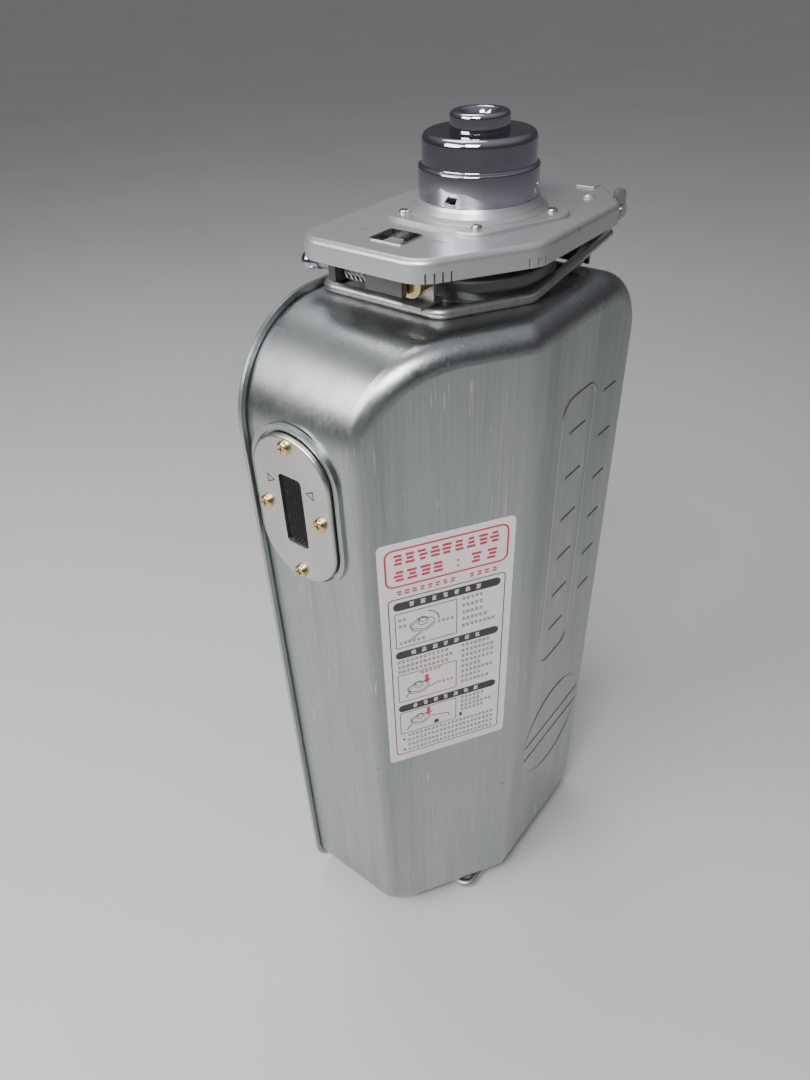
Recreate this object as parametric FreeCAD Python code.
import FreeCAD, Part
import math
import os

# Cartridge fuel tank of a kerosene heater, standing with its filler cap up.
# Working frame: x from the gauge side, y from the front face, z up from the floor, in mm.
# On export everything is shifted so that the origin is at the middle of the base.

V = FreeCAD.Vector
X_AXIS = V(1, 0, 0)
Y_AXIS = V(0, 1, 0)
Z_AXIS = V(0, 0, 1)

# ---- driving dimensions ----
SHEET = 0.8                 # steel sheet of the tank
TANK_W = 158.0              # pan, along x
TANK_D = 100.0              # pan, along y
PAN_BOTTOM = 6.5
PAN_TOP = 381.0
CORNER_TOP_LEFT = 45.0
CORNER_TOP_RIGHT = 33.0
CORNER_BOTTOM = 20.0
FRONT_EDGE_R = 10.5         # pressed radius round the front and the slanted face
FOLD_R = 12.0               # soft fold between the front and the slanted face
CHAMFER_X = 65.0            # slanted face, extent along x
CHAMFER_Y = 42.0            # slanted face, extent along y
FLANGE = 3.0                # seam flange beyond the pan wall

CAP_X = 97.4                # axis of neck, cap and valve
CAP_Y = 51.0
NECK_BORE_R = 20.0
NECK_R = 32.4
NECK_SEAT_Z = 393.0

LID_TOP = 408.0
LID_SHEET = 1.2
LID_SKIRT = 8.5
LID_LEFT = 32.6
LID_RIGHT = 156.5
LID_FRONT = 6.3
LID_BACK = 94.0

CAP_R = 24.0                # cap skirt, the size that enters the heater
CAP_UPPER_R = 22.5
CAP_Z0 = 414.0
CAP_STEP_Z = 425.0
CAP_SHOULDER_Z = 437.3
CROWN_TOP = 444.0
CROWN_R = 11.7
CAP_SHEET = 1.0

HINGE_X = 154.5
HINGE_Z = 399.0
HINGE_PIN_R = 1.6
RUN_FIT = 0.05              # radial clearance of a running fit

ROD_X = 44.0                # latch rod
ROD_Z = 394.6
ROD_R = 2.0
KNOB_Y = 95.5
KNOB_R = 3.9

GAUGE_Y = 73.0
GAUGE_Z = 307.0
GAUGE_HALF_W = 21.0
GAUGE_HALF_H = 36.5

LABEL_W = 64.0
LABEL_H = 143.5
LABEL_EDGE = 7.5            # from the left edge of the slanted face
LABEL_BOTTOM = 153.5

RAIL_R = 2.25
RAIL_Z = PAN_TOP + RAIL_R - 0.15   # the wire beds slightly on the pan's top

HANDLE_R = 2.4
HANDLE_PIVOT_X = 104.0
HANDLE_PIVOT_Z = 3.7
HANDLE_GRIP_X = 44.0

EMBOSS = 0.5                # height of the pressed beads on the front
BACK_PANEL = 2.0            # height of the raised panel in the back plate

SLANT_LENGTH = math.hypot(CHAMFER_X, CHAMFER_Y)
SLANT_DIR = V(CHAMFER_X, -CHAMFER_Y, 0) * (1 / SLANT_LENGTH)
SLANT_OUT = V(-CHAMFER_Y, -CHAMFER_X, 0) * (1 / SLANT_LENGTH)
CAP_AXIS = V(CAP_X, CAP_Y, 0)

GAUGE_PLATE_X = -4.0        # outer face of the gauge plate
GAUGE_HEAD_R = 3.05
GAUGE_HEAD_HIGH = 2.1

ORIGIN_X = (TANK_W + FLANGE + GAUGE_PLATE_X - GAUGE_HEAD_HIGH) / 2
ORIGIN_Y = (TANK_D + BACK_PANEL + SHEET - EMBOSS) / 2
ORIGIN = V(ORIGIN_X, ORIGIN_Y, 0)


# ---- helpers ----
def box(x0, x1, y0, y1, z0, z1):
    return Part.makeBox(x1 - x0, y1 - y0, z1 - z0, V(x0, y0, z0))


def rod(radius, start, end):
    return Part.makeCylinder(radius, (end - start).Length, start, end - start)


def upright(radius, z0, z1):
    """Cylinder on the cap's axis."""
    return rod(radius, CAP_AXIS + V(0, 0, z0), CAP_AXIS + V(0, 0, z1))


def sleeve(outer, inner, z0, z1):
    return upright(outer, z0, z1).cut(upright(inner, z0, z1))


def turned(profile, centre=CAP_AXIS):
    """Solid of revolution about the vertical through centre; profile is (radius, z) pairs."""
    points = [V(centre.x + r, centre.y, z) for r, z in profile]
    face = Part.Face(Part.makePolygon(points + [points[0]]))
    return face.revolve(centre, Z_AXIS, 360)


def prism(points, z0, z1):
    corners = [V(x, y, z0) for x, y in points]
    face = Part.Face(Part.makePolygon(corners + [corners[0]]))
    return face.extrude(V(0, 0, z1 - z0))


def vertical_edges(shape):
    def is_vertical(edge):
        ends = [vertex.Point for vertex in edge.Vertexes]
        return len(ends) == 2 and (ends[0] - ends[1]).cross(Z_AXIS).Length < 1e-6
    return [edge for edge in shape.Edges if is_vertical(edge)]


def edges_at_z(shape, z):
    return [
        edge for edge in shape.Edges
        if abs(edge.BoundBox.ZMin - z) < 1e-4 and abs(edge.BoundBox.ZMax - z) < 1e-4
    ]


def group(shapes):
    return Part.makeCompound(shapes)


def bent_path(points, bend_r):
    """Straight runs joined by tangent arcs of radius bend_r."""
    edges = []
    start = points[0]
    for before, corner, after in zip(points, points[1:], points[2:]):
        incoming = (corner - before).normalize()
        outgoing = (after - corner).normalize()
        turn = incoming.getAngle(outgoing)
        setback = bend_r * math.tan(turn / 2)
        arc_start = corner - incoming * setback
        arc_end = corner + outgoing * setback
        inward = (outgoing - incoming).normalize()
        centre = corner + inward * (bend_r / math.cos(turn / 2))
        edges.append(Part.LineSegment(start, arc_start).toShape())
        edges.append(Part.Arc(arc_start, centre - inward * bend_r, arc_end).toShape())
        start = arc_end
    edges.append(Part.LineSegment(start, points[-1]).toShape())
    return Part.Wire(edges)


def bent_rod(points, bend_r, radius):
    path = bent_path(points, bend_r)
    circle = Part.Wire(Part.Circle(points[0], points[1] - points[0], radius).toShape())
    return path.makePipeShell([circle], True, False)


def coil(start, axis, mean_r, wire_r, turns, length):
    """Helical spring whose coils run from start along axis."""
    helix = Part.makeHelix(length / turns, length, mean_r)
    circle = Part.Wire(Part.Circle(V(mean_r, 0, 0), Y_AXIS, wire_r).toShape())
    spring = Part.Wire(helix.Edges).makePipeShell([circle], True, True)
    spring.Placement = FreeCAD.Placement(start, FreeCAD.Rotation(Z_AXIS, axis))
    return spring


# ---- tank shells ----
def side_outline(grow, y):
    """The pan's outline seen from the front, grown outwards, as a wire at depth y."""
    x0 = -grow
    x1 = TANK_W + grow
    z0 = PAN_BOTTOM - grow
    z1 = PAN_TOP + grow
    left = CORNER_TOP_LEFT + grow
    right = CORNER_TOP_RIGHT + grow
    low = CORNER_BOTTOM + grow
    arcs = [
        (V(x0 + low, y, z0 + low), low, 180),
        (V(x1 - low, y, z0 + low), low, 270),
        (V(x1 - right, y, z1 - right), right, 0),
        (V(x0 + left, y, z1 - left), left, 90),
    ]
    edges = []
    ends = []
    for centre, radius, angle in arcs:
        at = []
        for step in (0, 45, 90):
            turn = math.radians(angle + step)
            at.append(centre + V(math.cos(turn), 0, math.sin(turn)) * radius)
        edges.append(Part.Arc(at[0], at[1], at[2]).toShape())
        ends.append((at[0], at[2]))
    for index in range(4):
        edges.append(Part.LineSegment(ends[index][1], ends[(index + 1) % 4][0]).toShape())
    return Part.Wire(Part.__sortEdges__(edges))


def outline_plate(grow, y0, y1):
    return Part.Face(side_outline(grow, y0)).extrude(V(0, y1 - y0, 0))


def outline_ring(outer, inner, y0, y1):
    return outline_plate(outer, y0, y1).cut(outline_plate(inner, y0, y1))


def on_plane(face, normal):
    return face.Surface.TypeId == "Part::GeomPlane" and face.normalAt(0, 0).getAngle(normal) < 0.01


def pan_form(inset):
    """Solid bounded by the pan's wall, moved inwards by inset and open to the back plane."""
    form = outline_plate(-inset, inset, TANK_D)
    corner = [V(0, CHAMFER_Y, 0), V(CHAMFER_X, 0, 0)]
    shift = SLANT_OUT * -inset
    far = SLANT_OUT * 80
    low = [
        corner[0] - SLANT_DIR * 60 + shift,
        corner[1] + SLANT_DIR * 60 + shift,
        corner[1] + SLANT_DIR * 60 + far,
        corner[0] - SLANT_DIR * 60 + far,
    ]
    form = form.cut(prism([(p.x, p.y) for p in low], -20, PAN_TOP + 40))
    front = [f for f in form.Faces if on_plane(f, V(0, -1, 0))][0]
    slant = [f for f in form.Faces if on_plane(f, SLANT_OUT)][0]
    fold = [e for e in front.Edges if any(e.isSame(other) for other in slant.Edges)]
    form = form.makeFillet(FOLD_R - inset, fold)
    front_faces = [
        f for f in form.Faces
        if on_plane(f, V(0, -1, 0)) or on_plane(f, SLANT_OUT)
        or (f.Surface.TypeId == "Part::GeomCylinder" and abs(f.Surface.Axis.z) > 0.99)
    ]
    rim = []
    for face in front_faces:
        others = [f for f in front_faces if not f.isSame(face)]
        for edge in face.Edges:
            if not any(edge.isSame(other) for f in others for other in f.Edges):
                rim.append(edge)
    return form.makeFillet(FRONT_EDGE_R - inset, rim)


def front_beads():
    """Pressed relief of the front face: a tall frame with bars and a ring with a band."""
    bead_r = 1.1
    corner_r = 8.0
    bar_pitch = 24.0
    ring_r = 33.0
    band_half = 6.0
    y = bead_r - EMBOSS
    left = 89.5
    right = 119.0
    low = 178.0
    high = 338.0
    mid = (left + right) / 2
    beads = [bent_rod([
        V(mid, y, high), V(right, y, high), V(right, y, low),
        V(left, y, low), V(left, y, high), V(mid, y, high),
    ], corner_r, bead_r)]
    for step in range(6):
        z = low + bar_pitch * (step + 0.92)
        short_z = z + bar_pitch / 3
        beads.append(rod(bead_r, V(left + corner_r, y, z), V(right - corner_r, y, z)))
        beads.append(rod(bead_r, V(right + 9, y, short_z), V(right + 20, y, short_z)))
    ring_centre = V(114.0, y, 107.0)
    beads.append(Part.makeTorus(ring_r, bead_r, ring_centre, Y_AXIS))
    for offset in (-band_half, band_half):
        half = math.sqrt(ring_r ** 2 - offset ** 2)
        beads.append(rod(bead_r, ring_centre + V(-half, 0, offset), ring_centre + V(half, 0, offset)))
    proud = box(0, TANK_W, -2, SHEET / 2, 0, PAN_TOP)
    return [bead.common(proud) for bead in beads]


GAUGE_STRAIGHT = GAUGE_HALF_H - GAUGE_HALF_W
GAUGE_SCREWS = [(0, 31.5), (0, -31.5), (15.3, 0), (-15.3, 0)]
GAUGE_HOLE_HALF_W = 9.0
GAUGE_HOLE_STRAIGHT = 15.0
GAUGE_BED_X = -1.6          # face of the gasket that the gauge plate lies on
SCREW_R = 2.0
SCREW_HOLE_R = 2.05
WINDOW_HALF_W = 6.3
WINDOW_HALF_H = 17.5


def stadium(x0, x1, half_w, straight):
    """Upright stadium-shaped slab on the gauge side, between x0 and x1."""
    ends = []
    for z in (GAUGE_Z - straight, GAUGE_Z + straight):
        ends.append(rod(half_w, V(x0, GAUGE_Y, z), V(x1, GAUGE_Y, z)))
    middle = box(x0, x1, GAUGE_Y - half_w, GAUGE_Y + half_w, GAUGE_Z - straight, GAUGE_Z + straight)
    return middle.fuse(ends).removeSplitter()


def gauge_rods(radius, x0, x1):
    return [
        rod(radius, V(x0, GAUGE_Y + dy, GAUGE_Z + dz), V(x1, GAUGE_Y + dy, GAUGE_Z + dz))
        for dy, dz in GAUGE_SCREWS
    ]


def front_shell():
    shell = pan_form(0).cut(pan_form(SHEET))
    shell = shell.fuse(outline_ring(FLANGE - SHEET, -SHEET / 2, TANK_D - SHEET, TANK_D))
    shell = shell.cut(upright(NECK_BORE_R + 4, PAN_TOP - 10, PAN_TOP + 10))
    shell = shell.fuse(front_beads())
    # pressed rim round the gauge, then the opening and the screw holes behind it
    rim = stadium(GAUGE_BED_X, SHEET / 2, GAUGE_HALF_W + 3.2, GAUGE_STRAIGHT)
    rim = rim.cut(stadium(-2, 1, GAUGE_HALF_W + 0.9, GAUGE_STRAIGHT))
    shell = shell.fuse(rim)
    shell = shell.cut(stadium(-3, 3, GAUGE_HOLE_HALF_W, GAUGE_HOLE_STRAIGHT))
    return shell.cut(group(gauge_rods(SCREW_HOLE_R, -3, 3)))


def back_plate():
    """Flat back with its edge folded round the pan's flange and a raised panel."""
    panel_in = 14.0
    plate = outline_plate(FLANGE, TANK_D - 2 * SHEET, TANK_D + SHEET)
    rim = [e for e in plate.Edges if abs(e.BoundBox.YMin - TANK_D - SHEET) < 1e-4]
    plate = plate.makeFillet(0.9, rim)
    plate = plate.cut(outline_plate(FLANGE - SHEET, TANK_D - SHEET, TANK_D))
    plate = plate.cut(outline_plate(0.7, TANK_D - 3 * SHEET, TANK_D))
    panel = outline_plate(-panel_in, TANK_D, TANK_D + BACK_PANEL + SHEET)
    far = [e for e in panel.Edges if abs(e.BoundBox.YMin - panel.BoundBox.YMax) < 1e-4]
    panel = panel.makeFillet(1.5, far)
    plate = plate.fuse(panel)
    return plate.cut(outline_plate(-panel_in - 1, TANK_D - 1, TANK_D + BACK_PANEL)).removeSplitter()


def filler_neck():
    """Neck pressed into the pan's top: a collar inside, a rolled ring and the seat for the gasket."""
    collar_r = NECK_BORE_R + 1.2
    collar_z = PAN_TOP - 7
    return turned([
        (NECK_BORE_R, collar_z), (collar_r, collar_z), (collar_r, PAN_TOP),
        (NECK_R + 0.6, PAN_TOP), (NECK_R + 0.6, PAN_TOP + 1), (NECK_R, PAN_TOP + 1.6),
        (NECK_R + 0.7, PAN_TOP + 4.5), (NECK_R, PAN_TOP + 7.2), (NECK_R - 2.6, PAN_TOP + 8.6),
        (NECK_BORE_R + 6.5, PAN_TOP + 9), (NECK_BORE_R + 5.2, NECK_SEAT_Z - 0.8),
        (NECK_BORE_R + 4.2, NECK_SEAT_Z), (NECK_BORE_R + 2.6, NECK_SEAT_Z), (NECK_BORE_R, NECK_SEAT_Z - 1.2),
    ])


# ---- fluid gauge on the narrow side ----
def gauge_gasket():
    pad = stadium(GAUGE_BED_X, 0, GAUGE_HALF_W - 0.6, GAUGE_STRAIGHT)
    pad = pad.cut(stadium(-2, 1, GAUGE_HOLE_HALF_W, GAUGE_HOLE_STRAIGHT))
    return pad.cut(group(gauge_rods(SCREW_HOLE_R, -3, 1)))


def gauge_plate():
    plate = stadium(GAUGE_PLATE_X, GAUGE_BED_X, GAUGE_HALF_W, GAUGE_STRAIGHT)
    rim = [e for e in plate.Edges if abs(e.BoundBox.XMax - GAUGE_PLATE_X) < 1e-4]
    plate = plate.makeFillet(1.4, rim)
    return plate.cut(gauge_block(-6, 0, 0, 2.2)).cut(group(gauge_rods(SCREW_HOLE_R, -6, 1)))


def gauge_block(x0, x1, inset, corner_r):
    """Round-cornered block as large as the gauge window, less inset all round."""
    half_w = WINDOW_HALF_W - inset
    half_h = WINDOW_HALF_H - inset
    block = box(x0, x1, GAUGE_Y - half_w, GAUGE_Y + half_w, GAUGE_Z - half_h, GAUGE_Z + half_h)
    return block.makeFillet(corner_r, [e for e in block.Edges if abs(e.Length - (x1 - x0)) < 1e-6])


def gauge_lens():
    """Prism sight glass: a body in the opening with a ribbed face in the window."""
    clear = 0.3
    rib = 2.0
    half_w = WINDOW_HALF_W - clear
    groove_half_h = WINDOW_HALF_H - 0.8
    face_x = -2.6
    body = stadium(GAUGE_BED_X + 0.1, 6.0, GAUGE_HOLE_HALF_W - clear, GAUGE_HOLE_STRAIGHT)
    face = gauge_block(face_x, GAUGE_BED_X + 0.2, clear, 1.9)
    grooves = []
    for index in range(6):
        y = GAUGE_Y - half_w + rib * index
        section = [(face_x - 0.1, y), (face_x - 0.1, y + rib), (face_x + 0.7, y + rib / 2)]
        grooves.append(prism(section, GAUGE_Z - groove_half_h, GAUGE_Z + groove_half_h))
    return body.fuse(face).removeSplitter().cut(group(grooves))


def pan_head(radius, height, tip, out):
    """Screw head with a cross recess, its flat underside at tip, facing out."""
    head = Part.makeCylinder(radius, height)
    head = head.makeFillet(height * 0.6, edges_at_z(head, height))
    half = radius * 0.58
    slot_half = 0.35
    bar = box(-half, half, -slot_half, slot_half, height * 0.45, height + 1)
    cross = bar.fuse(bar.copy().rotate(V(0, 0, 0), Z_AXIS, 90))
    head = head.cut(cross)
    head.Placement = FreeCAD.Placement(tip, FreeCAD.Rotation(Z_AXIS, out))
    return head


def screw(radius, height, tip, out, shank_r, shank_length):
    return pan_head(radius, height, tip, out).fuse(rod(shank_r, tip - out * shank_length, tip))


def gauge_screws():
    tips = [V(GAUGE_PLATE_X, GAUGE_Y + dy, GAUGE_Z + dz) for dy, dz in GAUGE_SCREWS]
    return group([screw(GAUGE_HEAD_R, GAUGE_HEAD_HIGH, tip, X_AXIS * -1, SCREW_R, 7.0) for tip in tips])


# ---- label on the slanted face ----
def label():
    film = 0.2
    corner = V(0, CHAMFER_Y, LABEL_BOTTOM) + SLANT_DIR * LABEL_EDGE
    sheet = Part.makeBox(LABEL_W, film, LABEL_H)
    sheet = sheet.makeFillet(2.5, [e for e in sheet.Edges if abs(e.Length - film) < 1e-6])
    angle = math.degrees(math.atan2(SLANT_DIR.y, SLANT_DIR.x))
    sheet.translate(V(0, -film, 0))
    sheet.rotate(V(0, 0, 0), Z_AXIS, angle)
    sheet.translate(corner)
    return sheet


# ---- guard rail round the neck ----
RAIL_SIDE_Y = 15.35         # both long runs lie against the outer faces of the hinge cheeks
RAIL_LEFT = 49.2
RAIL_BACK_Y = 95.4
RAIL_RISE_X = 76.0
RAIL_END_X = 146.0
RAIL_END_Z = 391.8


def guard_rail():
    """Bent wire bedded on the pan's top; its long runs rise to the hinge cheeks."""
    far_side = 2 * CAP_Y - RAIL_SIDE_Y
    wire = bent_rod([
        V(RAIL_END_X, RAIL_SIDE_Y, RAIL_END_Z), V(RAIL_RISE_X + 7, RAIL_SIDE_Y, RAIL_Z),
        V(RAIL_LEFT, 35.9, RAIL_Z), V(RAIL_LEFT, RAIL_BACK_Y, RAIL_Z),
        V(RAIL_RISE_X - 12, RAIL_BACK_Y, RAIL_Z), V(RAIL_RISE_X + 9, far_side, RAIL_Z),
        V(RAIL_END_X, far_side, RAIL_END_Z),
    ], 7.0, RAIL_R)
    cheeks = box(118, RAIL_END_X + 5, BRACKET_Y[0][0], BRACKET_Y[1][1], PAN_TOP, LID_TOP)
    return wire.cut(pan_form(0)).cut(cheeks)


# ---- hinge at the far narrow side ----
BRACKET_Y = [(17.6, 19.6), (82.4, 84.4)]
BRACKET_X0 = 118.5
BRACKET_X1 = TANK_W - CORNER_TOP_RIGHT - 1
ARM_Y = [(14.6, 17.2), (84.8, 87.4)]
ARM_X = 131.0
EYE_R = 3.9
PIN_HEAD_R = 2.7


def eye_plate(outline, y0, y1, eye_r):
    """Flat plate in the x-z plane with a round eye on the hinge pin."""
    points = [V(x, y0, z) for x, z in outline]
    plate = Part.Face(Part.makePolygon(points + [points[0]])).extrude(V(0, y1 - y0, 0))
    plate = plate.fuse(rod(eye_r, V(HINGE_X, y0, HINGE_Z), V(HINGE_X, y1, HINGE_Z)))
    return plate.removeSplitter()


def pin_hole(radius):
    return rod(radius, V(HINGE_X, 0, HINGE_Z), V(HINGE_X, TANK_D + 10, HINGE_Z))


def hinge_bracket():
    """Two upright cheeks with feet on the pan's top, joined by a cross web."""
    cheek = [
        (BRACKET_X0, PAN_TOP), (BRACKET_X1, PAN_TOP), (HINGE_X + 1.0, HINGE_Z - 3.6),
        (HINGE_X - 1.5, HINGE_Z), (146, HINGE_Z - 3.5), (126, PAN_TOP + 7), (BRACKET_X0, PAN_TOP + 3),
    ]
    pieces = []
    for (y0, y1), out in zip(BRACKET_Y, (-4.4, 4.4)):
        plate = eye_plate(cheek, y0, y1, EYE_R)
        foot_y = (min(y0, y0 + out), max(y1, y1 + out))
        foot = box(BRACKET_X0, BRACKET_X1, foot_y[0], foot_y[1], PAN_TOP, PAN_TOP + 1.4)
        pieces.append(plate.fuse(foot))
    web = box(134.4, 135.8, BRACKET_Y[0][0], BRACKET_Y[1][1], PAN_TOP, HINGE_Z - 2.5)
    frame = pieces[0].fuse([pieces[1], web.cut(pan_form(0))]).removeSplitter()
    return frame.cut(pin_hole(HINGE_PIN_R))


def hinge_pin():
    inner = 0.35
    outer = 1.4
    near = ARM_Y[0][0]
    far = ARM_Y[1][1]
    pin = rod(HINGE_PIN_R, V(HINGE_X, near - 1.2, HINGE_Z), V(HINGE_X, far + 1.2, HINGE_Z))
    heads = [
        rod(PIN_HEAD_R, V(HINGE_X, near - outer, HINGE_Z), V(HINGE_X, near - inner, HINGE_Z)),
        rod(PIN_HEAD_R, V(HINGE_X, far + inner, HINGE_Z), V(HINGE_X, far + outer, HINGE_Z)),
    ]
    return pin.fuse(heads)


def hinge_spring():
    """Torsion spring round the pin, just inside the front cheek."""
    return coil(V(HINGE_X, 21.0, HINGE_Z), Y_AXIS, 2.9, 0.5, 9, 11.0)


def hinge_arms():
    """Lid half of the hinge: a plate under the lid with two arms that carry the pin's ends."""
    top = LID_TOP - LID_SHEET
    under_skirt = LID_TOP - LID_SKIRT - 0.5
    plate_x = ARM_X + 6.5
    ear_top = LID_TOP - 0.4
    plate = box(ARM_X, plate_x, ARM_Y[0][0], ARM_Y[1][1], top - 1.5, top)
    arms = []
    for y0, y1 in ARM_Y:
        outline = [
            (ARM_X, top), (ARM_X, under_skirt - 4), (HINGE_X, HINGE_Z - EYE_R), (HINGE_X + 1, HINGE_Z - 1),
            (147, under_skirt), (plate_x, under_skirt), (plate_x, top),
        ]
        ear = [
            (HINGE_X - 4, HINGE_Z), (HINGE_X - 4, ear_top), (HINGE_X + 1.6, ear_top),
            (HINGE_X + EYE_R, ear_top - 2.8), (HINGE_X + EYE_R, HINGE_Z),
        ]
        arms.append(eye_plate(outline, y0, y1, EYE_R).fuse(eye_plate(ear, y0, y1, EYE_R)))
    return plate.fuse(arms).removeSplitter().cut(pin_hole(HINGE_PIN_R + RUN_FIT))


# ---- lid ----
LID_CORNERS = [
    (LID_LEFT, 33.0), (73.7, LID_FRONT), (135.5, LID_FRONT), (LID_RIGHT, 24.0),
    (LID_RIGHT, 78.0), (135.5, LID_BACK), (LID_LEFT, LID_BACK),
]
LID_CORNER_R = [15.0, 15.0, 8.0, 6.0, 6.0, 8.0, 12.0]
WINDOW = (43.4, 57.4, 48.2, 64.2)
PAD_Y = 22.0                # pressed pads near the hinge, from the lid's middle line
PAD_HALF = 4.2
RIVET_X = 134.6
RIVET_Y = 30.2              # from the lid's middle line


def lid_form(inset, z0, z1, bend_r):
    form = prism(LID_CORNERS, z0, z1)
    for (x, y), radius in zip(LID_CORNERS, LID_CORNER_R):
        edges = [
            edge for edge in vertical_edges(form)
            if math.hypot(edge.Vertexes[0].X - x, edge.Vertexes[0].Y - y) < 1e-4
        ]
        form = form.makeFillet(radius, edges)
    if inset:
        form = prism_offset(form, inset, z0, z1)
    return form.makeFillet(bend_r, edges_at_z(form, z1))


def prism_offset(form, inset, z0, z1):
    base = [f for f in form.Faces if abs(f.BoundBox.ZMax - z0) < 1e-4][0]
    wire = base.OuterWire.makeOffset2D(-inset)
    return Part.Face(wire).extrude(V(0, 0, z1 - z0))


def relief_slits(skirt_z):
    """Short upright cuts that let the skirt bend round its corners."""
    cuts = []
    for (x, y), direction, count in (
        ((LID_LEFT + 3.6, 32.6), SLANT_DIR, 4),
        ((69.0, 8.6), X_AXIS, 3),
        ((139.0, 9.2), V(0.76, 0.65, 0), 3),
    ):
        for index in range(count):
            centre = V(x, y, 0) + direction * (3.2 * index)
            slit = box(-0.35, 0.35, -6, 6, skirt_z - 1, skirt_z + 3.6)
            slit.rotate(V(0, 0, 0), Z_AXIS, math.degrees(math.atan2(direction.y, direction.x)))
            slit.translate(centre)
            cuts.append(slit)
    return cuts


def lid_plate():
    skirt_z = LID_TOP - LID_SKIRT
    lid = lid_form(0, skirt_z, LID_TOP, 2.6)
    lid = lid.cut(lid_form(LID_SHEET, skirt_z, LID_TOP - LID_SHEET, 1.4))
    lid = lid.cut(upright(NECK_BORE_R, skirt_z, LID_TOP + 5))
    lid = lid.cut(group(relief_slits(skirt_z)))
    lid = lid.cut(box(146, LID_RIGHT + 5, 13, 2 * CAP_Y - 13, skirt_z - 1, HINGE_Z + 4.4))
    lid = lid.cut(window_block(0, 1.5, skirt_z, LID_TOP + 2))
    pad_top = LID_TOP + 0.7
    pads = []
    for y in (CAP_Y - PAD_Y, CAP_Y + PAD_Y):
        pad = box(147.0, 153.4, y - PAD_HALF, y + PAD_HALF, LID_TOP - 0.4, pad_top)
        pads.append(pad.makeFillet(0.6, edges_at_z(pad, pad_top)))
    return lid.fuse(pads)


def window_trim():
    """Rolled lip round the lock window."""
    outer = window_block(0.05, 1.4, LID_TOP - 2.4, LID_TOP + 0.5)
    return outer.cut(window_block(0.75, 0.9, LID_TOP - 3, LID_TOP + 2))


def window_block(inset, corner_r, z0, z1):
    x0, x1, y0, y1 = WINDOW
    block = box(x0 + inset, x1 - inset, y0 + inset, y1 - inset, z0, z1)
    return block.makeFillet(corner_r, vertical_edges(block))


def lid_rivets():
    """Rivets that hold the hinge plate under the lid."""
    rivets = []
    for y in (CAP_Y - RIVET_Y, CAP_Y + RIVET_Y):
        dome = Part.makeSphere(3.4, V(RIVET_X, y, LID_TOP - 2.0))
        above = box(RIVET_X - 5, RIVET_X + 5, y - 5, y + 5, LID_TOP, LID_TOP + 3)
        rivets.append(dome.common(above))
    return group(rivets)


# ---- cap seat and cap ----
PENTAGON_R = 40.0
PENTAGON_PHASE = -4.0
SEAT_THICK = 1.4
SEAT_SCREW_PCR = 30.6
SEAT_SCREW_PHASE = 68.5
SEAT_SCREW_R = 1.55


def cap_flange():
    """Five-cornered seat plate on the lid with the boss that carries the cap."""
    corners = []
    for index in range(5):
        angle = math.radians(PENTAGON_PHASE + 72 * index)
        corners.append((CAP_X + PENTAGON_R * math.cos(angle), CAP_Y + PENTAGON_R * math.sin(angle)))
    plate = prism(corners, LID_TOP, LID_TOP + SEAT_THICK)
    plate = plate.makeFillet(12.0, vertical_edges(plate))
    plate = plate.makeFillet(0.7, edges_at_z(plate, LID_TOP + SEAT_THICK))
    boss = turned([
        (NECK_BORE_R, LID_TOP), (CAP_R + 4.2, LID_TOP), (CAP_R + 4.0, LID_TOP + SEAT_THICK + 0.3),
        (CAP_R + 2.6, LID_TOP + SEAT_THICK + 1.5), (CAP_R + 1.2, CAP_Z0 - 1.2), (CAP_R + 0.6, CAP_Z0),
        (NECK_BORE_R, CAP_Z0),
    ])
    flange = plate.fuse(boss).cut(upright(NECK_BORE_R, LID_TOP - 1, CAP_Z0 + 1))
    deep = V(0, 0, SEAT_THICK + 1)
    holes = [rod(SEAT_SCREW_R + RUN_FIT, tip - deep, tip + Z_AXIS) for tip in seat_screw_tips()]
    return flange.cut(group(holes)).removeSplitter()


def seat_screw_tips():
    tips = []
    for index in range(5):
        angle = math.radians(SEAT_SCREW_PHASE + 72 * index)
        offset = V(math.cos(angle), math.sin(angle), 0) * SEAT_SCREW_PCR
        tips.append(CAP_AXIS + offset + V(0, 0, LID_TOP + SEAT_THICK))
    return tips


def cap_flange_screws():
    return group([screw(2.1, 1.2, tip, Z_AXIS, SEAT_SCREW_R, SEAT_THICK) for tip in seat_screw_tips()])


def cap_shell():
    """Drawn cap: skirt, bead, upper drum and rounded shoulder, open where the crown sits."""
    bead = 0.7
    return turned([
        (CAP_R - CAP_SHEET, CAP_Z0), (CAP_R, CAP_Z0), (CAP_R, CAP_STEP_Z),
        (CAP_R - 0.3, CAP_STEP_Z + bead), (CAP_UPPER_R + 0.3, CAP_STEP_Z + bead + 0.5),
        (CAP_UPPER_R, CAP_STEP_Z + 1.8), (CAP_UPPER_R, CAP_SHOULDER_Z - 2.6),
        (CAP_UPPER_R - 0.7, CAP_SHOULDER_Z - 0.9), (CAP_UPPER_R - 2.6, CAP_SHOULDER_Z),
        (CROWN_R + 0.05, CAP_SHOULDER_Z), (CROWN_R + 0.05, CAP_SHOULDER_Z - CAP_SHEET),
        (CAP_UPPER_R - 2.8, CAP_SHOULDER_Z - CAP_SHEET),
        (CAP_UPPER_R - CAP_SHEET, CAP_SHOULDER_Z - 2.8), (CAP_UPPER_R - CAP_SHEET, CAP_STEP_Z + 0.2),
        (CAP_R - CAP_SHEET, CAP_STEP_Z - 0.9),
    ])


PORT_R = 6.6
VALVE_HOLE_R = 4.2
SEAL_Z = 434.5
CROWN_BEDDED = 1.5          # how far the crown reaches below the cap's shoulder


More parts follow.
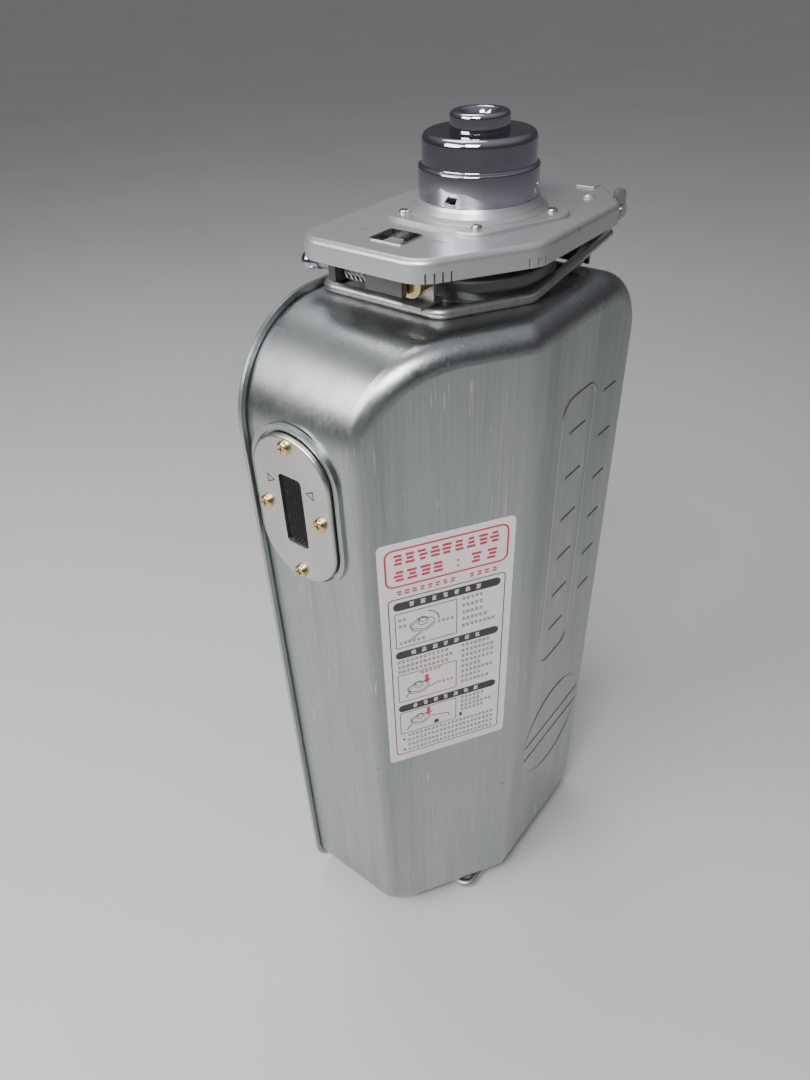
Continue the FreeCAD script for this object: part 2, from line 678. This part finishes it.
def cap_crown():
    """Stepped nozzle in the middle of the cap, with the port that the heater's pin enters."""
    ledge_z = CAP_SHOULDER_Z - CROWN_BEDDED
    floor_z = CROWN_TOP - 5.0
    return turned([
        (VALVE_HOLE_R, SEAL_Z), (CROWN_R - 1.6, SEAL_Z), (CROWN_R - 1.6, ledge_z), (CROWN_R, ledge_z),
        (CROWN_R, CROWN_TOP - 2.2), (CROWN_R - 0.7, CROWN_TOP - 0.7), (CROWN_R - 2.2, CROWN_TOP),
        (PORT_R + 1.6, CROWN_TOP), (PORT_R, CROWN_TOP - 1.2), (PORT_R, floor_z), (VALVE_HOLE_R, floor_z),
    ])


STEM_R = 1.5
STEM_HEAD_R = 2.6
CARRIER_R = 5.6
SEAL_R = 6.8
SEAL_UNDER = SEAL_Z - 2.4
GUIDE_Z = 420.0
GUIDE_THICK = 1.4
LEG_HALF = 1.6


def valve_stem():
    """Pin with its seal carrier; the heater pushes it down to let the fuel run."""
    return turned([
        (0, GUIDE_Z - 6), (STEM_R, GUIDE_Z - 6), (STEM_R, SEAL_UNDER - 1.5), (CARRIER_R, SEAL_UNDER - 1.5),
        (CARRIER_R, SEAL_UNDER), (STEM_R, SEAL_UNDER), (STEM_R, SEAL_Z - 0.2), (STEM_HEAD_R, SEAL_Z + 1.0),
        (STEM_HEAD_R, CROWN_TOP - 2.8), (STEM_HEAD_R - 0.7, CROWN_TOP - 2.0), (0, CROWN_TOP - 1.8),
    ])


def valve_seal():
    top = SEAL_Z - 0.35
    return turned([(STEM_R, SEAL_UNDER), (SEAL_R, SEAL_UNDER), (SEAL_R, top), (STEM_R, top)])


def valve_spring():
    foot = CAP_AXIS + V(0, 0, GUIDE_Z + 2.0)
    return coil(foot, Z_AXIS, 3.6, 0.4, 5, SEAL_Z - 4.8 - foot.z)


def valve_guide():
    """Three-legged cage under the crown that guides the stem."""
    collar_in = CROWN_R - 1.55
    outer = CROWN_R - 0.1
    hub = sleeve(6.0, STEM_R + RUN_FIT, GUIDE_Z, GUIDE_Z + GUIDE_THICK)
    collar = sleeve(CROWN_R, collar_in, SEAL_Z - 0.5, CAP_SHOULDER_Z - CROWN_BEDDED)
    legs = []
    for index in range(3):
        leg = box(5.0, outer, -LEG_HALF, LEG_HALF, GUIDE_Z, GUIDE_Z + GUIDE_THICK)
        leg = leg.fuse(box(collar_in, outer, -LEG_HALF, LEG_HALF, GUIDE_Z, SEAL_Z + 0.2))
        leg.rotate(V(0, 0, 0), Z_AXIS, 120 * index + 30)
        leg.translate(CAP_AXIS)
        legs.append(leg)
    guide = hub.fuse(legs + [collar]).removeSplitter()
    return guide.cut(upright(collar_in, GUIDE_Z + GUIDE_THICK, CAP_SHOULDER_Z))


# ---- seal between lid and neck ----
GASKET_HIGH = 3.8
GASKET_R = 29.4
HOLDER_LIP = 1.3


def gasket_holder():
    """Shallow cup under the lid that holds the gasket."""
    top = LID_TOP - LID_SHEET
    low = NECK_SEAT_Z + 0.9
    bed = low + GASKET_HIGH
    inner = GASKET_R + 0.1
    outer = GASKET_R + HOLDER_LIP
    return turned([
        (NECK_BORE_R, bed), (inner, bed), (inner, low + 1.4), (outer, low + 1.4), (outer, bed + 1.2),
        (NECK_BORE_R + 4, top - 2.0), (NECK_BORE_R + 4, top), (NECK_BORE_R, top),
    ])


def lid_gasket():
    low = NECK_SEAT_Z + 0.4
    top = low + GASKET_HIGH + 0.5
    inner = NECK_BORE_R + 0.6
    return turned([(inner, low), (GASKET_R, low), (GASKET_R, top), (inner, top)])


# ---- latch ----
TAB_FRONT_Y = (59.4, 60.8)
TAB_BACK_Y = (75.8, 77.2)
COLLAR_Y = 63.2
BRACKET_LOW = 392.0
BRACKET_FRONT_Y = 43.5
BRACKET_X = 36.6
BOLT_FRONT_Y = 37.7
BOLT_BACK_Y = 44.4
BOLT_LOW = 390.8
BOLT_TOP = 398.0
BOLT_HALF = 3.6
STRIP = 1.2                 # sheet of the small latch parts


def latch_bracket():
    """Folded channel under the lid: two tabs guide the latch rod, a side wall covers the bolt."""
    top = LID_TOP - LID_SHEET
    tab_top = ROD_Z + 4.8
    inner_x = ROD_X + 7
    window_back = WINDOW[3] + 0.6
    web = box(BRACKET_X, inner_x, window_back, TAB_BACK_Y[1] + 2, top - 1.5, top)
    side = box(BRACKET_X, BRACKET_X + STRIP, BRACKET_FRONT_Y, TAB_BACK_Y[1] + 2, BRACKET_LOW, top)
    side = side.cut(box(BRACKET_X - 1, inner_x, TAB_FRONT_Y[1], TAB_BACK_Y[0], BRACKET_LOW - 1, ROD_Z + 6))
    front_tab = box(BRACKET_X, inner_x, TAB_FRONT_Y[0], TAB_FRONT_Y[1], BRACKET_LOW, tab_top)
    back_tab = box(BRACKET_X, inner_x, TAB_BACK_Y[0], TAB_BACK_Y[1], BRACKET_LOW, top)
    lip = box(BRACKET_X, BRACKET_X + 3, BRACKET_FRONT_Y, BRACKET_FRONT_Y + STRIP, BRACKET_LOW, tab_top)
    bracket = web.fuse([side, front_tab, back_tab, lip]).removeSplitter()
    return bracket.cut(rod(ROD_R + RUN_FIT, V(ROD_X, 50, ROD_Z), V(ROD_X, 100, ROD_Z)))


def latch_rod():
    """Rod from the bolt to the knob, with the spring collar behind the first tab."""
    shaft = rod(ROD_R, V(ROD_X, BOLT_BACK_Y, ROD_Z), V(ROD_X, KNOB_Y - KNOB_R + 0.6, ROD_Z))
    collar = rod(4.0, V(ROD_X, COLLAR_Y - STRIP, ROD_Z), V(ROD_X, COLLAR_Y, ROD_Z))
    return shaft.fuse(collar)


def latch_bolt():
    """Bolt with a rounded nose that rides over the keeper as the lid comes down."""
    bolt = box(ROD_X - BOLT_HALF, ROD_X + BOLT_HALF, BOLT_FRONT_Y, BOLT_BACK_Y, BOLT_LOW, BOLT_TOP)
    nose = [e for e in edges_at_z(bolt, BOLT_LOW) if e.BoundBox.YMax < BOLT_FRONT_Y + 1e-4]
    bolt = bolt.makeFillet(5.0, nose)
    crown = [e for e in edges_at_z(bolt, BOLT_TOP) if e.BoundBox.YMax < BOLT_FRONT_Y + 1e-4]
    return bolt.makeFillet(1.2, crown)


def pull_knob():
    ball = Part.makeSphere(KNOB_R, V(ROD_X, KNOB_Y, ROD_Z))
    neck = rod(2.7, V(ROD_X, KNOB_Y - KNOB_R - 1.8, ROD_Z), V(ROD_X, KNOB_Y - 2.0, ROD_Z))
    socket = rod(ROD_R, V(ROD_X, KNOB_Y - 8, ROD_Z), V(ROD_X, KNOB_Y - KNOB_R + 0.6, ROD_Z))
    return ball.fuse(neck).cut(socket)


def latch_spring():
    start = V(ROD_X, COLLAR_Y + 0.5, ROD_Z)
    return coil(start, Y_AXIS, 3.2, 0.4, 5, TAB_BACK_Y[0] - 0.5 - start.y)


def lock_slide():
    """Flag that rides on the rod and shows in the window whether the lid is locked."""
    x0, x1, y0, y1 = WINDOW
    flag_z = LID_TOP - LID_SHEET - 5.2
    stem_half = 2.8
    flag = box(x0 - 1.4, x1 + 0.8, y0 - 2.0, y1 + 0.6, flag_z, flag_z + STRIP)
    stem = box(ROD_X - stem_half, ROD_X + stem_half, y0 - 2.0, y0 - 0.6, ROD_Z - 3.2, flag_z)
    slide = flag.fuse(stem).removeSplitter()
    return slide.cut(rod(ROD_R, V(ROD_X, 30, ROD_Z), V(ROD_X, 70, ROD_Z)))


def latch_catch():
    """Keeper on the pan's top: a post inside the rail and a shelf that reaches over it under the bolt."""
    y0 = BOLT_FRONT_Y
    y1 = BOLT_BACK_Y + 2.0
    post_x = RAIL_LEFT + RAIL_R + 1.5
    cheek_x = ROD_X + BOLT_HALF + 0.7
    shelf_z = RAIL_Z + RAIL_R + 1.4
    post = box(post_x, post_x + STRIP, y0, y1, PAN_TOP, shelf_z + STRIP)
    foot = box(post_x, post_x + 5.0, y0, y1, PAN_TOP, PAN_TOP + STRIP)
    shelf = box(ROD_X - BOLT_HALF, post_x + STRIP, y0, y1, shelf_z, shelf_z + STRIP)
    cheek = box(cheek_x, cheek_x + STRIP, y0, y1, shelf_z, ROD_Z + 1.0)
    return post.fuse([foot, shelf, cheek]).removeSplitter()


# ---- carry handle folded under the base ----
HANDLE_Y = (12.0, 88.0)
HANDLE_BEND_R = 6.0
STUB = 14.0


def carry_handle():
    front, back = HANDLE_Y
    low = HANDLE_R + 0.8
    return bent_rod([
        V(HANDLE_PIVOT_X, front + STUB, HANDLE_PIVOT_Z), V(HANDLE_PIVOT_X, front, HANDLE_PIVOT_Z),
        V(HANDLE_GRIP_X, front, low), V(HANDLE_GRIP_X, back, low),
        V(HANDLE_PIVOT_X, back, HANDLE_PIVOT_Z), V(HANDLE_PIVOT_X, back - STUB, HANDLE_PIVOT_Z),
    ], HANDLE_BEND_R, HANDLE_R)


RUNNER_WIDE = 5.0
RUNNER_IN = 7.4
RUNNER_END_X = 48.0
RUNNER_FAR_X = HANDLE_PIVOT_X + 14.0


def base_runners():
    """Two strips under the base; the tank stands on them and the handle's ends turn in them."""
    runners = []
    gap = HANDLE_R + RUN_FIT
    for y in (HANDLE_Y[0] + RUNNER_IN, HANDLE_Y[1] - RUNNER_IN - RUNNER_WIDE):
        body = box(RUNNER_END_X, RUNNER_FAR_X, y, y + RUNNER_WIDE, 0, PAN_BOTTOM)
        ends = [e for e in body.Edges if e.BoundBox.ZMax < 1e-4 and e.BoundBox.XLength < 1e-4]
        body = body.makeFillet(3.0, ends)
        y0 = y - 1
        y1 = y + RUNNER_WIDE + 1
        bore = rod(gap, V(HANDLE_PIVOT_X, y0, HANDLE_PIVOT_Z), V(HANDLE_PIVOT_X, y1, HANDLE_PIVOT_Z))
        throat = box(HANDLE_PIVOT_X - gap, HANDLE_PIVOT_X + gap, y0, y1, HANDLE_PIVOT_Z, PAN_BOTTOM + 1)
        runners.append(body.cut(bore).cut(throat))
    return group(runners)


PARTS = {
    "front_shell": front_shell,
    "back_plate": back_plate,
    "filler_neck": filler_neck,
    "gauge_gasket": gauge_gasket,
    "gauge_plate": gauge_plate,
    "gauge_lens": gauge_lens,
    "gauge_screws": gauge_screws,
    "label": label,
    "guard_rail": guard_rail,
    "hinge_bracket": hinge_bracket,
    "hinge_pin": hinge_pin,
    "hinge_spring": hinge_spring,
    "latch_catch": latch_catch,
    "base_runners": base_runners,
    "lid_plate": lid_plate,
    "hinge_arms": hinge_arms,
    "window_trim": window_trim,
    "lid_rivets": lid_rivets,
    "cap_flange": cap_flange,
    "cap_flange_screws": cap_flange_screws,
    "cap_shell": cap_shell,
    "cap_crown": cap_crown,
    "valve_guide": valve_guide,
    "valve_spring": valve_spring,
    "gasket_holder": gasket_holder,
    "lid_gasket": lid_gasket,
    "latch_bracket": latch_bracket,
    "latch_spring": latch_spring,
    "latch_rod": latch_rod,
    "latch_bolt": latch_bolt,
    "pull_knob": pull_knob,
    "lock_slide": lock_slide,
    "valve_stem": valve_stem,
    "valve_seal": valve_seal,
    "carry_handle": carry_handle,
}


def main():
    os.makedirs("parts", exist_ok=True)
    for name, build in PARTS.items():
        shape = build()
        shape.translate(ORIGIN * -1)
        shape.exportStep("parts/" + name + ".step")
        print(name, shape.isValid(), len(shape.Solids), round(shape.Volume, 1))


if __name__ == "__main__":
    main()
